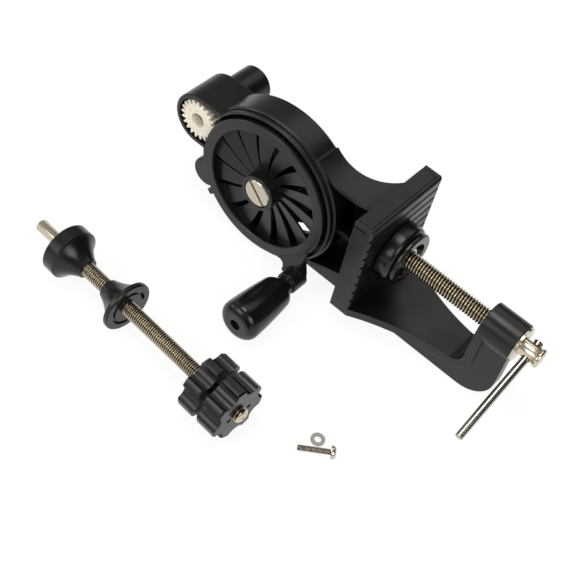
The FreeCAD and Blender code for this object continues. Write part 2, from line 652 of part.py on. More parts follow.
def main_body():
    """The winder's one-piece frame: drum, pinion housing, neck, jaw plate, clamp arm and boss."""
    drum = drum_outside()
    pod = prism(slot_outline(POD_RADIUS, POD_FRONT), V(0, POD_BACK - POD_FRONT, 0))
    pod = pod.makeFillet(POD_BACK_EDGE, [edge for edge in pod.Edges if edge.BoundBox.YMin > POD_BACK - 0.1])
    pod = pod.makeFillet(POD_EDGE, [edge for edge in pod.Edges if edge.BoundBox.YMax < POD_FRONT + 0.1])
    tube = turned([(0, POD_BACK - 1), (TUBE_RADIUS, POD_BACK - 1), (TUBE_RADIUS, TUBE_BACK - TUBE_CHAMFER),
                   (TUBE_RADIUS - TUBE_CHAMFER, TUBE_BACK), (0, TUBE_BACK)],
                  V(PINION_X, 0, PINION_Z), V(0, 1, 0))
    lug = polar(DRUM_RADIUS, LUG_BEARING)
    lug_boss = cylinder(LUG_RADIUS, LUG_FRONT, DRUM_BACK - 2, lug.x, lug.z)
    lug_boss = lug_boss.makeFillet(1.5, [edge for edge in lug_boss.Edges if len(edge.Vertexes) == 1])
    lug_rib = block(DRUM_RADIUS - 6, DRUM_RADIUS + LUG_RIB_PROUD, LUG_FRONT, LUG_FRONT + LUG_RIB_LENGTH,
                    -LUG_RIB_WIDTH / 2, LUG_RIB_WIDTH / 2)
    lug_rib.rotate(V(0, 0, 0), V(0, 1, 0), -math.degrees(LUG_RIB_BEARING))
    core = block(PLATE_BACK, PLATE_FACE, PLATE_FRONT + BOOT_THICKNESS, PLATE_REAR - BOOT_THICKNESS,
                 FLANGE_TOP - 1, PLATE_TOP - BOOT_THICKNESS)
    boss = cylinder_x(BOSS_RADIUS, BOSS_START, BOSS_END)
    boss = boss.makeFillet(BOSS_EDGE, [edge for edge in boss.Edges if len(edge.Vertexes) == 1])
    bead_z = math.sqrt(DRUM_RADIUS ** 2 - NECK_START ** 2)
    bead = cylinder(NECK_BEAD_RADIUS, NECK_FRONT_AT_DRUM, DRUM_BACK - DRUM_BACK_EDGE, NECK_START, bead_z)
    bead = bead.makeFillet(NECK_BEAD_RADIUS / 2, [edge for edge in bead.Edges if len(edge.Vertexes) == 1])
    rib = block(DRUM_RADIUS - 2, PLATE_BACK, NECK_FRONT_AT_PLATE - 1, NECK_BACK_AT_PLATE - NECK_WALL,
                -NECK_RIB_THICKNESS / 2, NECK_RIB_THICKNESS / 2).common(neck_band(0))
    hollow = neck_band(NECK_WALL).cut(cylinder(DRUM_RADIUS, PLATE_FRONT - REACH, PLATE_REAR))
    neck = neck_band(0).cut(hollow)
    body = fused(drum, pod, tube, lug_boss, lug_rib, neck, bead, rib, fin().cut(hollow), core, clamp_arm(), boss)
    body = body.cut(cylinder(DRUM_INNER_RADIUS, -1, DRUM_BACK - DRUM_PLATE))
    body = body.cut(prism(slot_outline(POD_RADIUS - POD_WALL, POD_FRONT - 1), V(0, POD_CAVITY_BACK - POD_FRONT + 1, 0)))
    body = body.fuse(cylinder(AXLE_BOSS_RADIUS, AXLE_BOSS_FRONT, DRUM_BACK - 1))
    body = body.cut(cylinder(AXLE_RADIUS, LIP_FRONT, DRUM_BACK + 1))
    body = body.cut(back_window())
    body = body.cut(cylinder(SHAFT_RADIUS + SHAFT_ROOM, POD_CAVITY_BACK - REACH, TUBE_BACK + REACH, PINION_X, PINION_Z))
    body = body.cut(cylinder(BUSH_RADIUS, POD_CAVITY_BACK - 1, POD_CAVITY_BACK + BUSH_LENGTH, PINION_X, PINION_Z))
    body = body.cut(cylinder(BUSH_RADIUS, TUBE_BACK - BUSH_LENGTH, TUBE_BACK + 1, PINION_X, PINION_Z))
    body = body.cut(cylinder_x(SCREW_RADIUS + SCREW_ROOM, BOSS_START - REACH, BOSS_END + REACH))
    body = body.cut(cylinder_x(NUT_BODY_RADIUS, BOSS_START + FLANGE_THICKNESS, BOSS_END + REACH))
    return body.removeSplitter()


def back_window():
    """Curved window in the drum's back plate."""
    inner = WINDOW_RADIUS - WINDOW_WIDTH / 2
    outer = WINDOW_RADIUS + WINDOW_WIDTH / 2
    start = WINDOW_BEARING - WINDOW_SPAN / 2
    end = WINDOW_BEARING + WINDOW_SPAN / 2
    y = DRUM_BACK - DRUM_PLATE - 1
    return prism([polar(inner, start, y), (polar(inner, WINDOW_BEARING, y), polar(inner, end, y)),
                  polar(outer, end, y), (polar(outer, WINDOW_BEARING, y), polar(outer, start, y))],
                 V(0, DRUM_PLATE + 2, 0))


def front_bush():
    """Plain bearing of the shaft behind the pinion."""
    bush = cylinder(BUSH_RADIUS, POD_CAVITY_BACK, POD_CAVITY_BACK + BUSH_LENGTH, PINION_X, PINION_Z)
    return bush.cut(cylinder(SHAFT_RADIUS + RUN_GAP, 0, TUBE_BACK, PINION_X, PINION_Z))


def rear_bush():
    """Plain bearing of the shaft at the tube's end."""
    bush = cylinder(BUSH_RADIUS, TUBE_BACK - BUSH_LENGTH, TUBE_BACK, PINION_X, PINION_Z)
    return bush.cut(cylinder(SHAFT_RADIUS + RUN_GAP, 0, TUBE_BACK + 1, PINION_X, PINION_Z))


def pinion():
    """Nylon pinion. The shaft fills the back of its bore and leaves a recess in front."""
    teeth = gear(PINION_TEETH, PINION_FRONT, PINION_FACE, PINION_BEARING + math.pi * (1 - 1 / PINION_TEETH),
                 PINION_X, PINION_Z)
    hub = cylinder(PINION_HUB_RADIUS, PINION_BACK, POD_CAVITY_BACK - END_GAP, PINION_X, PINION_Z)
    return fused(teeth, hub).cut(cylinder(SHAFT_RADIUS, 0, POD_CAVITY_BACK, PINION_X, PINION_Z))


def drive_shaft():
    """Hollow shaft with a flange at the back, a wide bore for the stub and a narrow one for the screw."""
    shaft = cylinder(SHAFT_RADIUS, SHAFT_FRONT, SHAFT_BACK, PINION_X, PINION_Z)
    flange = cylinder(SHAFT_FLANGE_RADIUS, TUBE_BACK + END_GAP, SHAFT_BACK, PINION_X, PINION_Z)
    shaft = fused(shaft, flange)
    shaft = shaft.cut(cylinder(FIX_RADIUS + FIX_HOLE_GAP, 0, SHAFT_BACK, PINION_X, PINION_Z))
    return shaft.cut(cylinder(STUB_RADIUS + RUN_GAP, SHAFT_FRONT + SHAFT_WEB, SHAFT_BACK + 1, PINION_X, PINION_Z))


def jaw_pad():
    """Rubber boot over the jaw plate, with ribs across its face and open corners at the top."""
    bottom = FLANGE_TOP
    boot = block(PLATE_BACK, JAW_FACE, PLATE_FRONT, PLATE_REAR, bottom, PLATE_TOP)
    boot = boot.makeFillet(BOOT_EDGE, [edge for edge in boot.Edges
                                 if edge.BoundBox.XMin > JAW_FACE - 0.1 and edge.BoundBox.ZMax > bottom + 0.1])
    boot = boot.cut(block(PLATE_BACK - 1, PLATE_FACE, PLATE_FRONT + BOOT_THICKNESS,
                          PLATE_REAR - BOOT_THICKNESS, bottom - 1, PLATE_TOP - BOOT_THICKNESS))
    for y0 in (PLATE_FRONT - 1, PLATE_REAR - BOOT_THICKNESS):
        boot = boot.cut(block(PLATE_BACK - 1, PLATE_FACE - 1, y0, y0 + BOOT_THICKNESS + 1,
                              PLATE_TOP - BOOT_THICKNESS - BOOT_CORNER_GAP, PLATE_TOP - BOOT_THICKNESS))
    line_floor = PLATE_TOP - BOOT_LINE_DEPTH
    front = JAW_FACE - BOOT_LINE_INSET
    near = PLATE_FRONT + BOOT_LINE_INSET
    far = PLATE_REAR - BOOT_LINE_INSET
    boot = boot.cut(block(front - BOOT_LINE_WIDTH, front, near, far, line_floor, PLATE_TOP + 1))
    boot = boot.cut(block(PLATE_BACK - 1, front, near, near + BOOT_LINE_WIDTH, line_floor, PLATE_TOP + 1))
    boot = boot.cut(block(PLATE_BACK - 1, front, far - BOOT_LINE_WIDTH, far, line_floor, PLATE_TOP + 1))
    pitch = (PLATE_TOP - bottom) / BOOT_RIB_COUNT
    for index in range(1, BOOT_RIB_COUNT):
        middle = bottom + index * pitch
        boot = boot.cut(block(JAW_FACE - BOOT_GROOVE_DEPTH, JAW_FACE + 1, PLATE_FRONT - 1, PLATE_REAR + 1,
                              middle - BOOT_GROOVE_WIDTH / 2, middle + BOOT_GROOVE_WIDTH / 2))
    return boot


def clamp_nut():
    """Threaded metal insert in the boss."""
    nut = fused(cylinder_x(NUT_BODY_RADIUS, BOSS_START + FLANGE_THICKNESS, BOSS_END),
                cylinder_x(NUT_FLANGE_RADIUS, BOSS_END, BOSS_END + NUT_FLANGE_THICKNESS))
    return nut.cut(cylinder_x(SCREW_RADIUS + RUN_GAP, BOSS_START - 1, BOSS_END + 5))


def clamp_pad():
    """Round pad that the screw pushes against the table."""
    length = PAD_LENGTH
    edge = PAD_EDGE_RADIUS
    waist = length - PAD_RIM_LENGTH - edge / 3
    corner = (PAD_RADIUS - edge * ROUND_SHARE, waist - edge * ROUND_SHARE)
    socket = SCREW_RADIUS + RUN_GAP
    floor = length - PAD_RECESS_DEPTH
    return turned([(0, 0), (PAD_RADIUS - 1, 0), (PAD_RADIUS, 1), (PAD_RADIUS, waist - edge),
                   (corner, (PAD_RADIUS - edge, waist)), (PAD_RIM_RADIUS, length - PAD_RIM_LENGTH),
                   (PAD_RIM_RADIUS, length - COLLAR_EDGE), (PAD_RIM_RADIUS - COLLAR_EDGE, length),
                   (PAD_RECESS_RADIUS, length),
                   (PAD_RECESS_RADIUS - 1, floor), (socket, floor), (socket, floor - PAD_SOCKET_DEPTH),
                   (0, floor - PAD_SOCKET_DEPTH)], V(PAD_START, SCREW_Y, 0), V(1, 0, 0))


def pad_collar():
    """Bright collar that keeps the pad on the screw."""
    start = PAD_END - PAD_RECESS_DEPTH
    collar = cylinder_x(COLLAR_RADIUS, start, start + COLLAR_THICKNESS)
    collar = collar.makeFillet(COLLAR_EDGE, [edge for edge in collar.Edges
                                             if edge.BoundBox.XMin > start + COLLAR_THICKNESS / 2])
    return collar.cut(cylinder_x(SCREW_RADIUS + RUN_GAP, start - 1, start + COLLAR_THICKNESS + 1))


def bar_direction():
    """The way the long end of the tommy bar points."""
    return V(0, math.cos(BAR_BEARING), math.sin(BAR_BEARING))


def clamp_screw():
    """Clamp screw with a plain head that is drilled across for the tommy bar."""
    start = PAD_END - PAD_RECESS_DEPTH - PAD_SOCKET_DEPTH + END_GAP
    head = BAR_HOLE_X - SCREW_HEAD_LENGTH / 2
    end = BAR_HOLE_X + SCREW_HEAD_LENGTH / 2
    flare = end - SCREW_FLARE_LENGTH
    screw = turned([(0, start), (SCREW_RADIUS - 1, start), (SCREW_RADIUS, start + 1), (SCREW_RADIUS, head - 1),
                    (SCREW_HEAD_RADIUS, head), (SCREW_HEAD_RADIUS, flare), (SCREW_FLARE_RADIUS, flare + 1),
                    (SCREW_FLARE_RADIUS, end - 0.6), (SCREW_FLARE_RADIUS - 0.6, end), (0, end)],
                   V(0, SCREW_Y, 0), V(1, 0, 0))
    hole = Part.makeCylinder(BAR_RADIUS + BAR_HOLE_GAP, 4 * SCREW_RADIUS,
                             V(BAR_HOLE_X, SCREW_Y, 0) - bar_direction() * (2 * SCREW_RADIUS), bar_direction())
    return screw.cut(hole)


def tommy_bar():
    """Bright bar through the screw's head, with a stop at its short end."""
    start = -BAR_TAIL
    return turned([(0, start), (BAR_TAIL_HEAD_RADIUS - 0.5, start), (BAR_TAIL_HEAD_RADIUS, start + 0.5),
                   (BAR_TAIL_HEAD_RADIUS, start + BAR_TAIL_HEAD_LENGTH), (BAR_RADIUS, start + BAR_TAIL_HEAD_LENGTH),
                   (BAR_RADIUS, BAR_REACH - 0.8), (BAR_RADIUS - 0.8, BAR_REACH), (0, BAR_REACH)],
                  V(BAR_HOLE_X, SCREW_Y, 0), bar_direction())


def lying(solid, tip_x, tip_y, heading, tilt, height):
    """Lays a solid drawn along Z so that its axis starts at the tip and points along the heading."""
    forward = V(math.cos(heading) * math.cos(tilt), math.sin(heading) * math.cos(tilt), math.sin(tilt))
    sideways = V(-math.sin(heading), math.cos(heading), 0)
    up = forward.cross(sideways)
    rotation = FreeCAD.Rotation(sideways, up, forward, "ZXY")
    solid.Placement = FreeCAD.Placement(V(tip_x, tip_y, FLOOR + height), rotation).multiply(solid.Placement)
    return solid


def nut_height():
    """Height of a star nut's axis above the floor when it stands on two lobes."""
    cosine = NUT_SCALLOP_CENTRE ** 2 + NUT_RADIUS ** 2 - NUT_SCALLOP_RADIUS ** 2
    return NUT_RADIUS * cosine / (2 * NUT_SCALLOP_CENTRE * NUT_RADIUS)


def on_spindle(solid):
    """Lays a piece of the spindle on the floor, resting on the fixed cone and the inner star nut."""
    run = INNER_NUT_START + NUT_CHAMFER - CONE_BACK
    tilt = math.atan2(nut_height() - CONE_RADIUS, run)
    height = CONE_RADIUS * math.cos(tilt) - CONE_BACK * math.sin(tilt)
    return lying(solid, SPINDLE_TIP_X, SPINDLE_TIP_Y, SPINDLE_HEADING, tilt, height)


def spindle_rod():
    """Rod with a plain stub at one end and a thread along the rest."""
    seat = CONE_BACK + SEAT_DEPTH
    end = SPINDLE_LENGTH
    rod = turned([(0, 0), (STUB_RADIUS - 0.6, 0), (STUB_RADIUS, 0.6), (STUB_RADIUS, seat), (THREAD_RADIUS, seat),
                  (THREAD_RADIUS, end - SPINDLE_DOME),
                  ((THREAD_RADIUS * 0.72, end - SPINDLE_DOME * 0.3), (CENTRE_HOLE_RADIUS, end)),
                  (0, end - CENTRE_HOLE_RADIUS)])
    return on_spindle(rod.cut(Part.makeCylinder(FIX_RADIUS, FIX_LENGTH / 2)))


def cone_points(shoulder, nose):
    """The hollowed flank of a cone from its shoulder to its nose, as an arc."""
    middle = (CONE_NOSE_RADIUS + (CONE_SHOULDER_RADIUS - CONE_NOSE_RADIUS) * FLANK_SHARE, (shoulder + nose) / 2)
    return (middle, (CONE_NOSE_RADIUS, nose))


def fixed_cone():
    """Cone fixed on the rod. Its hollow back goes over the winder's tube."""
    band_end = CONE_BACK + CONE_BAND
    cup = CONE_BACK + CUP_DEPTH
    seat = CONE_BACK + SEAT_DEPTH
    seat_radius = SHAFT_FLANGE_RADIUS + SEAT_ROOM
    return on_spindle(turned([(CONE_CUP_RADIUS, CONE_BACK), (CONE_RADIUS - CONE_EDGE, CONE_BACK),
                              (CONE_RADIUS, CONE_BACK + CONE_EDGE), (CONE_RADIUS, band_end - CONE_EDGE),
                              (CONE_SHOULDER_RADIUS, band_end), cone_points(band_end, CONE_NOSE),
                              (THREAD_RADIUS, CONE_NOSE), (THREAD_RADIUS, seat), (seat_radius, seat),
                              (seat_radius, cup), (CONE_CUP_RADIUS, cup)]))


def sliding_cone():
    """Cone that slides along the rod, with a flange and a grooved face."""
    end = SLIDING_CONE_END
    flange = end - SLIDING_CONE_FLANGE
    bore = THREAD_RADIUS + RUN_GAP
    nose = (CONE_NOSE_RADIUS, SLIDING_CONE_NOSE)
    middle = cone_points(flange, SLIDING_CONE_NOSE)[0]
    cone = turned([(bore, SLIDING_CONE_NOSE), nose, (middle, (CONE_SHOULDER_RADIUS, flange)),
                   (CONE_RADIUS, flange), (CONE_RADIUS, end - CONE_EDGE), (CONE_RADIUS - CONE_EDGE, end), (bore, end)])
    floor = V(0, 0, end - CONE_GROOVE_DEPTH)
    ring = Part.makeCylinder(CONE_GROOVE_OUTER, SLIDING_CONE_FLANGE, floor)
    ring = ring.cut(Part.makeCylinder(CONE_GROOVE_INNER, SLIDING_CONE_FLANGE, floor))
    quarter = block(0, CONE_RADIUS, -CONE_RADIUS, 0, floor.z, floor.z + SLIDING_CONE_FLANGE)
    return on_spindle(cone.cut(ring.cut(quarter)))


def star_nut(start, length):
    """Seven-lobed nut, with its lobes turned so that two stand on the floor."""
    end = start + length
    body = turned([(0, start), (NUT_RADIUS - NUT_CHAMFER, start), (NUT_RADIUS, start + NUT_CHAMFER),
                   (NUT_RADIUS, end - NUT_CHAMFER), (NUT_RADIUS - NUT_CHAMFER, end), (0, end)])
    for index in range(NUT_LOBES):
        angle = math.radians(-90 + index * 360.0 / NUT_LOBES)
        centre = V(NUT_SCALLOP_CENTRE * math.cos(angle), NUT_SCALLOP_CENTRE * math.sin(angle), start - 1)
        body = body.cut(Part.makeCylinder(NUT_SCALLOP_RADIUS, length + 2, centre))
    return body.cut(Part.makeCylinder(THREAD_RADIUS + RUN_GAP, length + 2, V(0, 0, start - 1)))


def inner_star_nut():
    """Star nut that pushes the sliding cone against the spool."""
    return on_spindle(star_nut(INNER_NUT_START, INNER_NUT_LENGTH))


def outer_star_nut():
    """Star nut that locks the inner one, with two small holes beside its bore."""
    nut = star_nut(OUTER_NUT_START, OUTER_NUT_LENGTH)
    end = OUTER_NUT_START + OUTER_NUT_LENGTH
    for side in (-1, 1):
        hole = Part.makeCylinder(NUT_PIN_HOLE_RADIUS, NUT_PIN_HOLE_DEPTH + 1,
                                 V(side * NUT_PIN_HOLE_CIRCLE, 0, end - NUT_PIN_HOLE_DEPTH))
        nut = nut.cut(hole)
    return on_spindle(nut)


def retaining_screw():
    """Pan-headed screw that fixes the spindle in the hollow shaft."""
    tilt = math.asin((FIX_HEAD_RADIUS - FIX_RADIUS) / FIX_LENGTH)
    end = FIX_LENGTH + FIX_HEAD_HEIGHT
    dome = FIX_HEAD_HEIGHT * 0.45
    screw = turned([(0, 0), (FIX_RADIUS - 0.4, 0), (FIX_RADIUS, 0.4), (FIX_RADIUS, FIX_LENGTH),
                    (FIX_HEAD_RADIUS, FIX_LENGTH), (FIX_HEAD_RADIUS, end - dome),
                    ((FIX_HEAD_RADIUS * 0.82, end - dome * 0.4), (FIX_HEAD_RADIUS * 0.4, end)), (0, end)])
    height = FIX_RADIUS * math.cos(tilt)
    return lying(screw, FIX_TIP_X, FIX_TIP_Y, FIX_HEADING, tilt, height)


def retaining_washer():
    """Flat washer of the retaining screw."""
    centre = V(FIX_WASHER_X, FIX_WASHER_Y, FLOOR)
    washer = Part.makeCylinder(FIX_WASHER_RADIUS, FIX_WASHER_THICKNESS, centre)
    return washer.cut(Part.makeCylinder(FIX_RADIUS + FIX_HOLE_GAP, 3, centre - V(0, 0, 1)))


PIECES = [main_body, jaw_pad, front_bush, rear_bush, clamp_nut, axle_screw, axle_sleeve, axle_washer, axle_nut,
          crank_wheel, knob_pin, knob_washer, knob, pinion, drive_shaft, clamp_pad, pad_collar, clamp_screw,
          tommy_bar, spindle_rod, fixed_cone, sliding_cone, inner_star_nut, outer_star_nut,
          retaining_screw, retaining_washer]


def build():
    """Makes every piece, shifts them all to the set's own origin and writes one file for each."""
    os.makedirs("parts", exist_ok=True)
    shapes = {}
    whole = FreeCAD.BoundBox()
    for piece in PIECES:
        shape = piece()
        shapes[piece.__name__] = shape
        whole.add(shape.optimalBoundingBox(False))
    shift = V(-whole.Center.x, -whole.Center.y, -whole.ZMin)
    for name, shape in shapes.items():
        solids = shape.Solids
        shape = solids[0] if len(solids) == 1 else Part.makeCompound(solids)
        shape.translate(shift)
        shape.exportStep("parts/" + name + ".step")
    print("shift", round(shift.x, 4), round(shift.y, 4), round(shift.z, 4))
    print("size", round(whole.XLength, 2), round(whole.YLength, 2), round(whole.ZLength, 2))


build()
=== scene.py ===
# %% [markdown]
# A fishing line winder lies on its side on a white table, with its winding spindle, a small
# screw and a washer beside it. The imported CAD model is the fixed frame: every piece of it is
# already in place, in metres. This script gives each piece its real finish, and makes the
# screw threads that the CAD model leaves plain. The imported model comes first.

# %% Load the imported model
import json
import math

import bmesh
import bpy
from mathutils import Matrix, Vector


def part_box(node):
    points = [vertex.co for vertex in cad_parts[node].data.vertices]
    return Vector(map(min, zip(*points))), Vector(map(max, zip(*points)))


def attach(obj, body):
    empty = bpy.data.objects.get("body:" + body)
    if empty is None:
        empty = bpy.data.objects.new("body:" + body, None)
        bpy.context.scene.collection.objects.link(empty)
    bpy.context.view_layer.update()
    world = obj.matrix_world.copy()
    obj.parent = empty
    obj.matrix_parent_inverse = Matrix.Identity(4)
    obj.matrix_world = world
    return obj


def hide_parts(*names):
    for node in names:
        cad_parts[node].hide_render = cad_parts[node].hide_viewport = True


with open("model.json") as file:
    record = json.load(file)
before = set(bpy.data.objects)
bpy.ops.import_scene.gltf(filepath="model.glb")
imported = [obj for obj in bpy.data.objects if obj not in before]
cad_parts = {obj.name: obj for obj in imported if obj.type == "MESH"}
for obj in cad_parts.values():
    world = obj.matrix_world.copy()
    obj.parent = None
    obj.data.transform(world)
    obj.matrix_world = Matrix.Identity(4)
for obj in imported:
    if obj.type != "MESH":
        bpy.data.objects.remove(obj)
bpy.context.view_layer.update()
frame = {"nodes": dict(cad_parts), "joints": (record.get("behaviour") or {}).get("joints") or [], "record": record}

MM = 0.001
scene = bpy.context.scene
print("nodes", len(frame["nodes"]))

# %% [markdown]
# The picture is taken from above and a little to the right, looking down at the table at
# about 51 degrees. The place and the lens were worked out from the round wheel, the flat
# washer and the straight clamp, so they are given as the camera's own three directions.

# %% Camera
CAMERA_PLACE = Vector((0.22749, -0.39994, 0.60538))
CAMERA_RIGHT = Vector((0.741, 0.651, 0.164)).normalized()
CAMERA_BACK = Vector((0.309, -0.547, 0.778)).normalized()
CAMERA_LENS = 75.1
SENSOR_WIDTH = 36.0

camera_up = CAMERA_BACK.cross(CAMERA_RIGHT).normalized()
camera_right = camera_up.cross(CAMERA_BACK)
camera_turn = Matrix((camera_right, camera_up, CAMERA_BACK)).transposed().to_4x4()
camera_data = bpy.data.cameras.new("camera")
camera_data.lens = CAMERA_LENS
camera_data.sensor_width = SENSOR_WIDTH
camera = bpy.data.objects.new("camera", camera_data)
camera.matrix_world = Matrix.Translation(CAMERA_PLACE) @ camera_turn
scene.collection.objects.link(camera)
scene.camera = camera
print("camera looks along", [round(v, 3) for v in -CAMERA_BACK])

# %% [markdown]
# Colours are written as sRGB hex values, as a paint program shows them. Blender works with
# linear light, so one function turns them over. A second function adds a node to a tree,
# sets it and links it, which keeps the material recipes below short enough to read.

# %% Helpers for colours and nodes
def linear(hex_colour):
    """An sRGB hex colour as Blender's linear colour."""
    values = [int(hex_colour[i:i + 2], 16) / 255 for i in (1, 3, 5)]
    return [v / 12.92 if v <= 0.04045 else ((v + 0.055) / 1.055) ** 2.4 for v in values] + [1.0]


def add(tree, kind, inputs=None, **settings):
    """Adds a node. An input is given a value, or a node or socket that is linked to it."""
    node = tree.nodes.new(kind)
    for name, value in settings.items():
        setattr(node, name, value)
    for key, value in (inputs or {}).items():
        if isinstance(value, bpy.types.Node):
            value = value.outputs[0]
        if isinstance(value, bpy.types.NodeSocket):
            tree.links.new(value, node.inputs[key])
        else:
            node.inputs[key].default_value = value
    return node


def new_material(name):
    """An empty material with its tree and its output node."""
    material = bpy.data.materials.new(name)
    material.use_nodes = True
    material.node_tree.nodes.clear()
    output = material.node_tree.nodes.new("ShaderNodeOutputMaterial")
    return material, material.node_tree, output


# %% [markdown]
# The table is a plain white sheet. A real white sheet under a soft light comes out a little
# grey, so the part of its light that the camera and the bright metal see is lifted to white,
# and the rest stays an ordinary matt surface that takes the object's shadow. It is made very
# wide, so that a low view doesn't reach its edge.

# %% White table
FLOOR_SIZE = 40.0
FLOOR_WHITE = "#F4F4F4"
FLOOR_LIFT = 0.86
FLOOR_GLOW = 1.05

floor_white, tree, output = new_material("matt white paper")
path = add(tree, "ShaderNodeLightPath")
seen = add(tree, "ShaderNodeMath", {0: path.outputs["Is Camera Ray"], 1: path.outputs["Is Glossy Ray"]},
           operation="MAXIMUM")
seen = add(tree, "ShaderNodeMath", {0: seen, 1: path.outputs["Is Transmission Ray"]}, operation="MAXIMUM")
lift = add(tree, "ShaderNodeMath", {0: seen, 1: FLOOR_LIFT}, operation="MULTIPLY")
paper = add(tree, "ShaderNodeBsdfDiffuse", {"Color": linear(FLOOR_WHITE)})
white = add(tree, "ShaderNodeEmission", {"Color": (1, 1, 1, 1), "Strength": FLOOR_GLOW})
both = add(tree, "ShaderNodeMixShader", {0: lift, 1: paper, 2: white})
tree.links.new(both.outputs[0], output.inputs["Surface"])

floor_mesh = bpy.data.meshes.new("table")
half = FLOOR_SIZE / 2
corners = [(-half, -half, 0), (half, -half, 0), (half, half, 0), (-half, half, 0)]
floor_mesh.from_pydata(corners, [], [(0, 1, 2, 3)])
floor_mesh.materials.append(floor_white)
floor = bpy.data.objects.new("table", floor_mesh)
scene.collection.objects.link(floor)
print("table", FLOOR_SIZE, "m wide")

# %% [markdown]
# Black plastic shows mostly what it reflects, so the lamps are placed by their reflections.
# A wide soft box overhead lights every upper face, one at the front right makes the bright
# sheen on faces that look that way, and weaker ones fill in from the left and the back. The
# studio round them is grey on the left and nearly dark at the right, which is what keeps the
# shaded faces black. Each lamp is given by its place, the side of its square and its power.

# %% Soft studio light
LAMPS = {
    "lamp_top": ((-0.18, 0.00, 1.19), 0.52, 5.2),
    "lamp_front_right": ((0.89, -0.43, 0.70), 0.60, 5.6),
    "lamp_left": ((-1.02, -0.52, 0.36), 0.36, 0.9),
    "lamp_front_left": ((-0.42, -0.94, 0.66), 0.58, 4.4),
    "lamp_back": ((-0.07, 0.77, 0.92), 0.70, 1.7),
}
STUDIO_LIGHT_SIDE = Vector((-0.80, -0.55, 0.25)).normalized()
STUDIO_DARK = 0.03
STUDIO_BRIGHT = 0.45
DARK_UP_TO = -0.6
BRIGHT_FROM = 0.9
LAMP_COLOUR = "#FFFBF6"

for name, (place, size, power) in LAMPS.items():
    lamp_data = bpy.data.lights.new(name, "AREA")
    lamp_data.shape = "SQUARE"
    lamp_data.size = size
    lamp_data.energy = power
    lamp_data.color = linear(LAMP_COLOUR)[:3]
    lamp = bpy.data.objects.new(name, lamp_data)
    lamp.location = place
    lamp.rotation_euler = (-Vector(place)).to_track_quat("-Z", "Y").to_euler()
    scene.collection.objects.link(lamp)

world = bpy.data.worlds.new("studio")
world.use_nodes = True
world.node_tree.nodes.clear()
way = add(world.node_tree, "ShaderNodeTexCoord").outputs["Generated"]
facing = add(world.node_tree, "ShaderNodeVectorMath", {0: way, 1: STUDIO_LIGHT_SIDE}, operation="DOT_PRODUCT")
level = add(world.node_tree, "ShaderNodeMapRange", {
    "Value": facing.outputs["Value"], "From Min": DARK_UP_TO, "From Max": BRIGHT_FROM,
    "To Min": STUDIO_DARK, "To Max": STUDIO_BRIGHT}, interpolation_type="SMOOTHSTEP")
sky = add(world.node_tree, "ShaderNodeBackground", {"Color": (1, 1, 1, 1), "Strength": level})
add(world.node_tree, "ShaderNodeOutputWorld", {"Surface": sky})
scene.world = world
scene.view_settings.view_transform = "Standard"
print("lamps", len(LAMPS))

# %% [markdown]
# The frame, wheel, cones and nuts are injection moulded from black ABS. The steel mould is
# spark eroded, which leaves an even fine grain, about a third of a millimetre wide, and a
# satin sheen. A slow change in gloss comes from how the plastic cooled. No moulded edge is
# quite sharp. The edges are painted paler, partly as the wear of handling and partly as a
# painted highlight, a line of light along them. One recipe covers them all, and each piece
# gets its own grain and gloss, as its own mould gives it.

# %% Moulded plastic
EDGE_SAMPLES = 6
EDGE_STARTS_AT = 0.995
EDGE_PALEST_AT = 0.85
PLASTIC_IOR = 1.53
PLASTIC_SPECULAR = 0.34
FLOW_MM = 25
FLOW_TINT = 1.25
NOISE_LOW = 0.3
NOISE_HIGH = 0.7


def moulded_plastic(name, colour, edge_wear_and_highlight_colour, roughness, grain_mm, grain_height_mm,
                    edge_mm=0.4, gloss_change=0.05):
    """A moulded plastic with a spark-eroded grain, rounded edges painted paler as wear and painted highlight, and
    a slow change in its gloss.
    """
    material, tree, output = new_material(name)
    place = add(tree, "ShaderNodeTexCoord").outputs["Object"]
    grain = add(tree, "ShaderNodeTexNoise", {"Vector": place, "Scale": 1 / (grain_mm * MM), "Detail": 2.0})
    flow = add(tree, "ShaderNodeTexNoise", {"Vector": place, "Scale": 1 / (FLOW_MM * MM), "Detail": 1.0})
    gloss = add(tree, "ShaderNodeMapRange", {
        "Value": flow, "From Min": NOISE_LOW, "From Max": NOISE_HIGH,
        "To Min": roughness - gloss_change, "To Max": roughness + gloss_change})
    rounded = add(tree, "ShaderNodeBevel", {"Radius": edge_mm * MM}, samples=EDGE_SAMPLES)
    bump = add(tree, "ShaderNodeBump", {"Height": grain, "Strength": 1.0, "Distance": grain_height_mm * MM,
                                        "Normal": rounded})
    flat = add(tree, "ShaderNodeNewGeometry").outputs["Normal"]
    same = add(tree, "ShaderNodeVectorMath", {0: rounded, 1: flat}, operation="DOT_PRODUCT").outputs["Value"]
    edge = add(tree, "ShaderNodeMapRange", {
        "Value": same, "From Min": EDGE_STARTS_AT, "From Max": EDGE_PALEST_AT, "To Min": 0.0, "To Max": 1.0})
    base = linear(colour)
    lighter = [v * FLOW_TINT for v in base[:3]] + [1.0]
    tint = add(tree, "ShaderNodeMix", {0: flow, 6: base, 7: lighter}, data_type="RGBA")
    # Painted highlight and wear: the rounded edges are painted paler, towards the edge colour.
    wear_and_highlight = add(tree, "ShaderNodeMix", {0: edge, 6: tint.outputs[2], 7: linear(edge_wear_and_highlight_colour)}, data_type="RGBA")
    shader = add(tree, "ShaderNodeBsdfPrincipled", {
        "Base Color": wear_and_highlight.outputs[2], "Roughness": gloss, "Normal": bump, "IOR": PLASTIC_IOR,
        "Specular IOR Level": PLASTIC_SPECULAR})
    tree.links.new(shader.outputs[0], output.inputs["Surface"])
    return material


